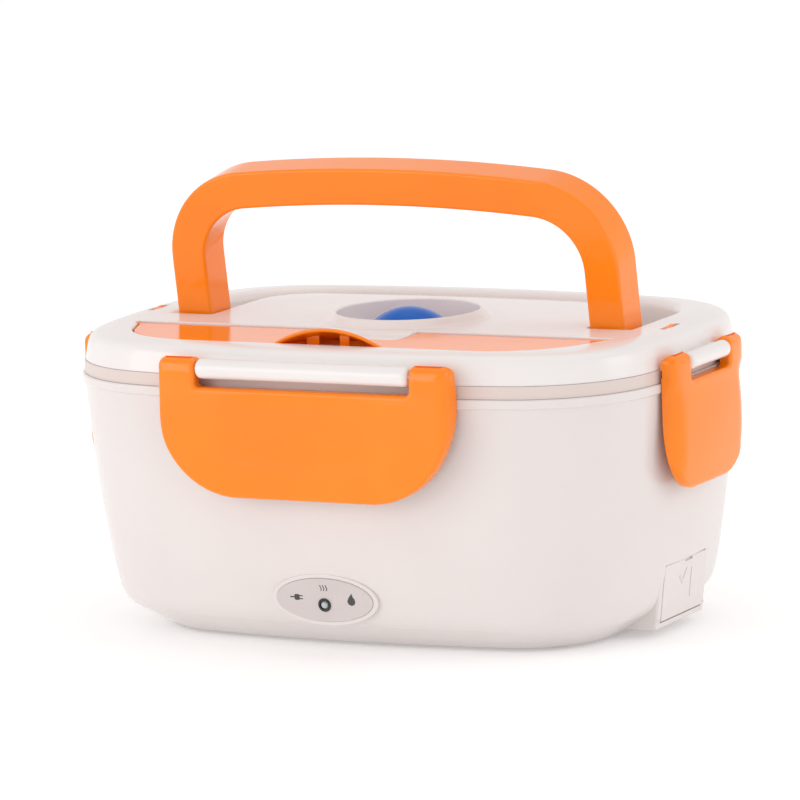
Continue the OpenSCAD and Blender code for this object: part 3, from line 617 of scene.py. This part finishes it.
def lid_shell():
    outer = curve([(-0.35, 99.6), (-0.75, 101.8), (-1.15, 104), (-1.55, 105.6), (-2.2, 107.1), (-3.6, 108.45), (-5.6, 109.25), (-8.2, 109.75), (-11, 110)], 4)
    path = [(-12.6, 94), (-12.6, 108.2), (-8, 107.8), (-4.6, 106.4), (-3, 104)]
    path += fillet([(-2.5, 101), (-2.3, 99.1, 0.2), (-0.3, 99.1, 0.15), (-0.35, 99.6)]) + outer[1:]
    ob = loft("lid_shell_looks", path)
    seat = lambda o: cover_outline(o, notch=(18.0, -47.1, 2.6))
    cut(ob, prism("seat", seat, flare(107.4, 110, 1.3)),
        prism("well", lambda o: cover_outline(o - 2.6, notch=(15.4, -49.7, 2.6)), [(0, 99.35), (0, 109)]),
        prism("rear_seat", rect(18.0, -33.5, 94.6, -29.9, 0.5), flare(106.4, 110, 0.4)),
        prism("rear_seat2", rect(-94.6, -33.5, -18.0, -29.9, 0.5), flare(106.4, 110, 0.4)),
        prism("scoop_room", rect(-18, -66.5, 18, -58.5, 1.0), [(0, 104.8), (0, 109)]),
        prism("groove", groove_outline, groove_layers()),
        prism("vent", circle(25.2, n=128), [(0, 103), (0, 112)]),
        prism("passage", circle(4.9, n=48), [(0, 92), (0, 110)]))
    lip = [(0.3, -1.0), (0.3, -0.9), (24, -0.9), (24.6, -0.5), (24.6, 2.3), (26.0, 2.3), (26.12, 2.62), (26.4, 2.84), (26.75, 2.9)]
    lip += curve([(26.75, 2.9), (27.35, 2.7), (28.0, 2.1), (28.8, 1.15), (29.6, 0.42), (30.6, 0.06)], 4)[1:] + [(31.2, -0.05), (31.2, -1.0)]
    raised = stack("raised", [[(r * cos(2 * pi * i / 128), r * sin(2 * pi * i / 128), 110 + z) for r, z in lip[4:] + [(24.6, -1.0)]]
                              for i in range(128)], True)
    fix_normals(raised)
    # the tongue in the notch stands a little lower, and rises smoothly to the top face behind it
    prof = [(-50, 109.15), (-38, 109.15), (-36, 109.25), (-34.2, 109.5), (-32.6, 109.8), (-31.2, 110.0), (-31.2, 112), (-50, 112)]
    w = 18.0
    low = obj("low", [(x, y, z) for x in (-w, w) for y, z in prof],
              [tuple(range(8)), tuple(range(15, 7, -1))] + [(i, 8 + i, 8 + (i + 1) % 8, (i + 1) % 8) for i in range(8)])
    fix_normals(low)
    cut(ob, low)
    unite(ob, raised)
    cut(ob, prism("vent_way", circle(26.0, n=160), [(0, 102.94), (0, 114)]))
    for s in (-1, 1):
        cut(ob, prism("slit", rect(min(s * 101.7, s * 104.1), -6.4, max(s * 101.7, s * 104.1), 8, 0.4), flare(98, 110, 0.3)),
            lathe("pivot", [(0, 89), (3.06, 89), (3.06, 103), (0, 103)], at(0, 0, 104) @ (ALONG_X if s > 0 else Matrix.Scale(-1, 4, (1, 0, 0)) @ ALONG_X), 48))
    for s in (-1, 1):
        lo, hi = sorted((s * WIDE, s * (B - 4)))
        unite(ob, web((-41.8, lo, 101.3), (41.8, hi, 104.3)))
        unite(ob, barrel(s * WIDE, 41.8, "x"))
        lo, hi = sorted((s * NARROW, s * (A - 3)))
        unite(ob, web((lo, -16.6, 99.5), (hi, 16.6, 102.4)))
        unite(ob, barrel(s * NARROW, 16.6, "y"))
    # the lid takes the brighter white, which is painted light
    return done(ob, "lid", WHITE_LID_PAINTED_LIGHT, ["lid_shell"])


def vent_plug():
    prof = [(0, 96), (4.3, 96), (4.8, 96.6), (4.8, 104), (15.0, 104), (15.45, 104.25)]
    a0 = math.asin(15.5 / 19)
    prof = prof[:-1] + [(15.45, 105.85)]
    prof += [(19 * sin(a0 * (1 - k / 22)), 94.8 + 19 * cos(a0 * (1 - k / 22))) for k in range(1, 23)]
    ob = lathe("vent_plug_looks", prof)
    return done(ob, "vent", BLUE, ["vent_plug"])


def spoon_cover():
    f = lambda o: cover_outline(o - 0.3, notch=(18.2, -47.2, 2.7))
    ob = prism("spoon_cover_looks", f, rounded(107.6, 109.4, 1.0, 0.1))
    moon = lambda r, y0: (lambda o: [((r + o) * sin(t), -65.6 + (r + o) * cos(t)) for t in [(-1 + 2 * i / 40) * pi / 2 for i in range(41)]]
                          + [(r + o - 0.01, y0), (-(r + o) + 0.01, y0)])
    cup = prism("cup", lambda o: [(max(-16.4, min(16.4, x)), max(y, -66.0)) for x, y in moon(16.4, -66.0)(o)], [(-0.5, 105.6), (0, 106.1), (0, 108.5)])
    unite(ob, cup)
    cut(ob, prism("scoop", lambda o: [(x, max(y, -64.9)) for x, y in moon(15.0, -64.9)(o)], [(-0.8, 107.0), (-0.2, 107.3), (0, 107.9), (0, 112)]))
    for s in (-1, 1):
        stub = lathe("stub", [(0, 90), (1, 90), (1, 95.9), (0, 95.9)], at(0, -31.9, 108.5) @ (ALONG_X if s > 0 else Matrix.Scale(-1, 4, (1, 0, 0)) @ ALONG_X), 24)
        unite(ob, stub)
    # hood: part of a leaning cylinder, open to the front, with a rounded lip
    R, co, zb = 43.0, 0.9455, 109.25
    axis_z = lambda y: 75.04 - (y + 79.5) * 0.3444
    rows = []
    outer_y = [-47.6 - (65.0 - 47.6) * (1 - cos(pi / 2 * k / 16)) for k in range(17)]
    path = [(y, 0.0) for y in outer_y]
    path += [(-65.0 - 0.6 * sin(t), -0.65 + 0.65 * cos(t)) for t in [pi * k / 8 for k in range(1, 8)]]
    path += [(-65.0 + 13.0 * k / 10, -1.3) for k in range(0, 11)]
    cols = 48
    verts, faces = [], []
    for y, g in path:
        q = (R + g) ** 2 - ((zb - axis_z(y)) * co) ** 2
        w = sqrt(max(q, 0.02))
        for j in range(cols + 1):
            x = w * sin(pi * (j / cols - 0.5))
            z = max(axis_z(y) + sqrt(max((R + g) ** 2 - x * x, 0)) / co, zb)
            verts.append((x, y, z))
    for i in range(len(path) - 1):
        for j in range(cols):
            a = i * (cols + 1) + j
            faces.append((a, a + 1, a + cols + 2, a + cols + 1))
    # underside closes the shell inside the plate
    m = len(path)
    for i in range(m // 2):
        for j in (0, cols):
            a, b = i * (cols + 1) + j, (m - 1 - i) * (cols + 1) + j
            c, d = (i + 1) * (cols + 1) + j, (m - 2 - i) * (cols + 1) + j
            if i + 1 < m - 2 - i:
                faces.append((a, c, d, b))
    faces.append(tuple([j for j in range(cols + 1)] + [(m - 1) * (cols + 1) + j for j in range(cols, -1, -1)]))
    hood = obj("hood", verts, faces)
    fix_normals(hood)
    ribs = [prism("rib", rect(x0, -60.2, x1, -59.2, 0.2), [(0, 106.8), (0, z)]) for x0, x1, z in ((-10.7, -5.7, 112.2), (2.5, 6.3, 112.4))]
    join(ob, hood, *ribs)
    return done(ob, "spoon_cover", ORANGE, ["spoon_cover"], angle=36)


# ---------------------------------------------------------------- handle
def handle():
    depth, cr = 8.05, 1.1
    outer = [(89.6, -0.001)] + arch(89.6, 63.9, 640, 33, 30, 14)
    inner = [(76.0, -0.001)] + arch(76.0, 50.3, 620, 20, 30, 14)
    full_o = outer + [(-x, y) for x, y in outer[-2::-1]]
    full_i = inner + [(-x, y) for x, y in inner[-2::-1]]
    k = 6
    corner = [(sx, sy, pi / 2 * q + pi / 2 * i / k) for q, (sx, sy) in enumerate(((1, 1), (-1, 1), (-1, -1), (1, -1))) for i in range(k + 1)]

    def section(po, pi_, hy):
        po, pi_ = np.array(po), np.array(pi_)
        m, d = (po + pi_) / 2, (po - pi_)
        w = np.linalg.norm(d) / 2
        d = d / (2 * w)
        c = min(cr, hy * 0.98)
        out = []
        for sx, sy, t in corner:
            u = sx * (w - c) + c * cos(t)
            v = sy * (hy - c) + c * sin(t)
            p = m + d * u
            out.append((float(p[0]), v, float(p[1])))
        return out

    layers = []
    ends = [0.5 * pi * i / 10 for i in range(10, 0, -1)]
    for t in ends:
        h = depth * cos(t) if t < 1.56 else 0.15
        layers.append(section((89.6, -depth * sin(t)), (76.0, -depth * sin(t)), max(h, 0.15)))
    layers += [section(a, b, depth) for a, b in zip(full_o, full_i)]
    for t in ends[::-1]:
        h = depth * cos(t) if t < 1.56 else 0.15
        layers.append(section((-89.6, -depth * sin(t)), (-76.0, -depth * sin(t)), max(h, 0.15)))
    ob = stack("handle_looks", layers)
    pins = []
    for s in (-1, 1):
        flip = ALONG_X if s > 0 else Matrix.Scale(-1, 4, (1, 0, 0)) @ ALONG_X
        pins.append(lathe("pin", [(0, 88.6), (3, 88.6), (3, 103.5), (2.7, 103.8), (0, 103.8)], flip, 48))
        pins.append(prism("key", rect(min(s * 102, s * 103.8), -4.4, max(s * 102, s * 103.8), 4.4, 0.3), rounded(-1.5, 5.9, 0.3)))
    for p in pins:
        fix_normals(p)
    join(ob, *pins)
    ob.data.transform(at(0, 0, 104) @ Matrix.Rotation(math.radians(9), 4, "X"))
    return done(ob, "handle", ORANGE, ["handle"], angle=40)


# ---------------------------------------------------------------- latches
def latch(name, w, ear, cr, axis, seam, bulge, plan, turn, drop=0.0, dish=True, low=57.4, lip=96.4):
    """A latch drawn for the front: outline in (x, z), a shaped front face, side walls that reach back to the body."""
    top, face = 106.9, axis + 4.1
    half = [(0.0, low)]
    half += [(w - cr + cr * sin(pi / 2 * i / 30), low + cr - cr * cos(pi / 2 * i / 30)) for i in range(31)]
    half += fillet([(w, low + cr + 2), (w, top, 3.4), (w - ear, top, 2.2), (w - ear, lip, 1.6), (w - ear - 4, lip)], n=8)
    step = [p for p in half]
    dense = [step[0]]
    for p in step[1:] + [(0.0, lip)]:
        q = dense[-1]
        d = math.hypot(p[0] - q[0], p[1] - q[1])
        for k in range(1, max(int(d / 3.0), 1) + 1):
            dense.append((q[0] + (p[0] - q[0]) * k / max(int(d / 3.0), 1), q[1] + (p[1] - q[1]) * k / max(int(d / 3.0), 1)))
    pts = dense + [(-x, z) for x, z in dense[-2:0:-1]]
    n = len(pts)
    P = np.array(pts)
    nxt, prv = np.roll(P, -1, 0), np.roll(P, 1, 0)
    tan = nxt - prv
    tan /= np.linalg.norm(tan, axis=1)[:, None]
    nor = np.stack([-tan[:, 1], tan[:, 0]], 1)          # points inwards on an anticlockwise outline
    f = 1.5

    def front(x, z, d):
        """y of the front face at (x, z), d from the outline."""
        y = -face
        if z > PIN_Z:
            y = -(axis + sqrt(max(4.1 ** 2 - (z - PIN_Z) ** 2, 0)))
        k = max(abs(x) - (w - plan), 0) / plan
        ends = plan * 0.9 * (1 - sqrt(max(1 - (0.98 * k) ** 2, 0)))           # ends rounded in plan
        if dish:
            y += min(abs(z - 60.0), 39.0) ** 2 / 1300.0 + ends                # crowned in height
        else:
            out = 3.1 - (z - 79.0) ** 2 / 240.0
            if z > 90.0:
                t = min((z - 90.0) / 8.0, 1.0)
                out += (2.75 - out) * t * t * (3 - 2 * t)
                ends *= 1 - 0.8 * t * t * (3 - 2 * t)
            if z > 103.3:
                out *= sqrt(max(1 - ((z - 103.3) / 3.6) ** 2, 0))
            y = -(axis + out) + x * x / 900.0 + ends
        if dish:
            q = max((abs(x) / 32.0) ** 4 + ((z - 81.5) / 12.5) ** 4, 1e-6) ** 0.25
            y += 0.2 * max(0.0, min(1.0, (1.06 - q) / 0.12)) ** 2 * (3 - 2 * max(0.0, min(1.0, (1.06 - q) / 0.12)))
        if d < f:
            y += f - sqrt(max(f * f - (f - d) ** 2, 0))
        return min(y, back(x, z) - 0.2)

    def back(x, z):
        t = max(0.0, min(1.0, (z - (73.0 if dish else 62.0)) / 21.0))
        y = -(seam + 1.4) + x * x / (2 * bulge) * t * t * (3 - 2 * t)
        y = min(y, -(axis - 5.2))
        if z > 98.7:
            y = -(axis - 4.1)
            if z > PIN_Z:
                y = -(axis - sqrt(max(4.1 ** 2 - (z - PIN_Z) ** 2, 0)))
        return y

    rings, ds = [], [0.0, 0.06, 0.2, 0.42, 0.75, 1.1, 1.5]
    for d in ds:
        rings.append(P + nor * d)
    co2 = [tuple(p) for rg in rings for p in rg]
    edges = [(i * n + j, i * n + (j + 1) % n) for i in range(len(ds)) for j in range(n)]
    inner = rings[-1]
    # interior grid, kept clear of the last ring
    grid = []
    gx, gz = np.arange(-w, w + 0.1, 2.0), np.arange(low, top, 2.0)
    ax, az = inner[:, 0], inner[:, 1]
    bx, bz = np.roll(ax, -1), np.roll(az, -1)
    for x in gx:
        for z in gz:
            cross = ((az > z) != (bz > z)) & (x < (bx - ax) * (z - az) / np.where(bz == az, 1e-9, bz - az) + ax)
            if cross.sum() % 2 and np.min((ax - x) ** 2 + (az - z) ** 2) > 1.0:
                grid.append((float(x), float(z)))
    res = delaunay_2d_cdt([Vector(p) for p in co2 + grid], edges, [tuple(range(n))], 1, 1e-4)
    v2, tris, origin = res[0], res[2], res[3]
    depth_of = {}
    for k, orig in enumerate(origin):
        d = f
        for o in orig:
            if o < len(co2):
                d = min(d, ds[o // n])
        depth_of[k] = d
    verts = [(v.x, front(v.x, v.y, depth_of[k]), v.y) for k, v in enumerate(v2)]
    faces = [tuple(t) for t in tris]
    outline_ids = {}
    for k, orig in enumerate(origin):
        for o in orig:
            if o < n:
                outline_ids[o] = k
    nb = len(verts)
    # back face follows the body, with the same outline
    verts += [(x, back(x, z), z) for x, z in pts]
    for j in range(n):
        l = (j + 1) % n
        if j in outline_ids and l in outline_ids:
            faces.append((outline_ids[j], outline_ids[l], nb + l, nb + j))
    res2 = delaunay_2d_cdt([Vector(p) for p in pts] + [Vector(g) for g in grid], [(j, (j + 1) % n) for j in range(n)], [tuple(range(n))], 1, 1e-4)
    ids = {}
    for k, (v, orig) in enumerate(zip(res2[0], res2[3])):
        own = [o for o in orig if o < n]
        if own:
            ids[k] = nb + own[0]
        else:
            ids[k] = len(verts)
            verts.append((v.x, back(v.x, v.y), v.y))
    faces += [tuple(ids[i] for i in reversed(t)) for t in res2[2]]
    ob = obj(name, verts, faces)
    fix_normals(ob)
    # hollow back and hook rib
    side = 2.2 if dish else 4.2
    ys = -(face - (2.6 if dish else 5.2))
    ci = max(cr - side, 1.0)
    right = [(w - side - ci + ci * sin(pi / 2 * i / 16), low + side + ci - ci * cos(pi / 2 * i / 16)) for i in range(17)]
    right += fillet([(w - side, low + cr), (w - side, 92.8, 1.0), (0, 92.8)])[1:-1]
    poly = right + [(-x, z) for x, z in right[::-1]]
    pk = stack("pocket", [[(x, y, z) for x, z in poly] for y in (ys, -(seam - 30))])
    cut(ob, pk)
    rail = stack("rail", [[(x, y, z) for x, z in [(-w + side, 50), (w - side, 50), (w - side, 98.6), (-w + side, 98.6)]] for y in (-(seam + 1.4), -(seam - 20))])
    cut(ob, rail)
    rib = prism("rib", rect(-w * 0.55, -face + 3, w * 0.55, -seam - 1.4, 0.5), rounded(87.6 + drop, 90.6 + drop, 0.5))
    if drop:
        cut(ob, stack("room", [[(x, y, z) for x, z in [(-w - 1, 98.6), (w + 1, 98.6), (w + 1, 101.6), (-w - 1, 101.6)]] for y in (-(axis - 3.5), -(seam - 20))]))
    join(ob, rib)
    ob.data.transform(at(0, 0, -drop))
    ob.data.transform(Matrix.Rotation(math.radians(turn), 4, "Z"))
    return ob


def latches():
    done(latch("latch_front_looks", 57.2, 15, 31, WIDE, B, RL, 3.2, 0), "latch_front", ORANGE, ["latch_front"], 40)
    done(latch("latch_back_looks", 57.2, 15, 31, WIDE, B, RL, 3.2, 180), "latch_back", ORANGE, ["latch_back"], 40)
    done(latch("latch_right_looks", 30, 13, 17, NARROW, A, RS, 6.5, 90, DROP, False), "latch_right", ORANGE, ["latch_right"], 40)
    if "latch_left" in frame["nodes"]:
        done(latch("latch_left_looks", 30, 13, 17, NARROW, A, RS, 6.5, -90, DROP, False), "latch_left", ORANGE, ["latch_left"], 40)


base_shell()
inner_tub()
lamp_parts()
socket_flap()
containers()
lid_shell()
vent_plug()
spoon_cover()
handle()
latches()


# ---------------------------------------------------------------- floor, light, world
def stage():
    s = 14.0
    fl = obj("floor", [(-s, -s, 0), (s, -s, 0), (s, s, 0), (-s, s, 0)], [(0, 1, 2, 3)])
    fl.data.materials.append(FLOOR)
    b = [n for n in FLOOR.node_tree.nodes if n.type == "BSDF_PRINCIPLED"][0]
    b.inputs["Emission Color"].default_value = (1, 1, 1, 1)
    b.inputs["Emission Strength"].default_value = 0.19

    def area(name, loc, target, size, power, colour=(1, 1, 1)):
        d = bpy.data.lights.new(name, "AREA")
        d.shape, d.size, d.size_y = "RECTANGLE", size[0], size[1]
        d.energy, d.color = power, colour
        ob = bpy.data.objects.new(name, d)
        scene.collection.objects.link(ob)
        ob.location = loc
        ob.rotation_euler = (Vector(target) - Vector(loc)).to_track_quat("-Z", "Y").to_euler()

    area("key", (-1.45, -1.95, 0.72), (0, 0, 0.07), (1.5, 1.34), 12.6)
    area("top", (0.1, 0.5, 2.4), (0, 0, 0.1), (2.4, 2.0), 6.0)
    area("right", (2.3, 0.6, 1.0), (0, 0, 0.08), (1.2, 1.2), 7.2)

    w = bpy.data.worlds.new("studio")
    scene.world = w
    w.use_nodes = True
    nt = w.node_tree
    nt.nodes.clear()
    out = nt.nodes.new("ShaderNodeOutputWorld")
    bg = nt.nodes.new("ShaderNodeBackground")
    tc = nt.nodes.new("ShaderNodeTexCoord")
    sep = nt.nodes.new("ShaderNodeSeparateXYZ")
    ramp = nt.nodes.new("ShaderNodeValToRGB")
    nt.links.new(tc.outputs["Generated"], sep.inputs[0])
    mr = nt.nodes.new("ShaderNodeMapRange")
    mr.inputs["From Min"].default_value, mr.inputs["From Max"].default_value = 0.0, 1.0
    nt.links.new(sep.outputs["Z"], mr.inputs["Value"])
    nt.links.new(mr.outputs[0], ramp.inputs[0])
    e = ramp.color_ramp.elements
    e[0].position, e[0].color = 0.05, (0.96, 0.935, 0.93, 1)
    e[1].position, e[1].color = 0.75, (0.79, 0.79, 0.79, 1)
    nt.links.new(ramp.outputs[0], bg.inputs[0])
    bg.inputs[1].default_value = 1.0
    nt.links.new(bg.outputs[0], out.inputs[0])


stage()
scene.view_settings.view_transform = "Standard"
scene.view_settings.look = "None"
scene.view_settings.exposure = 0.0
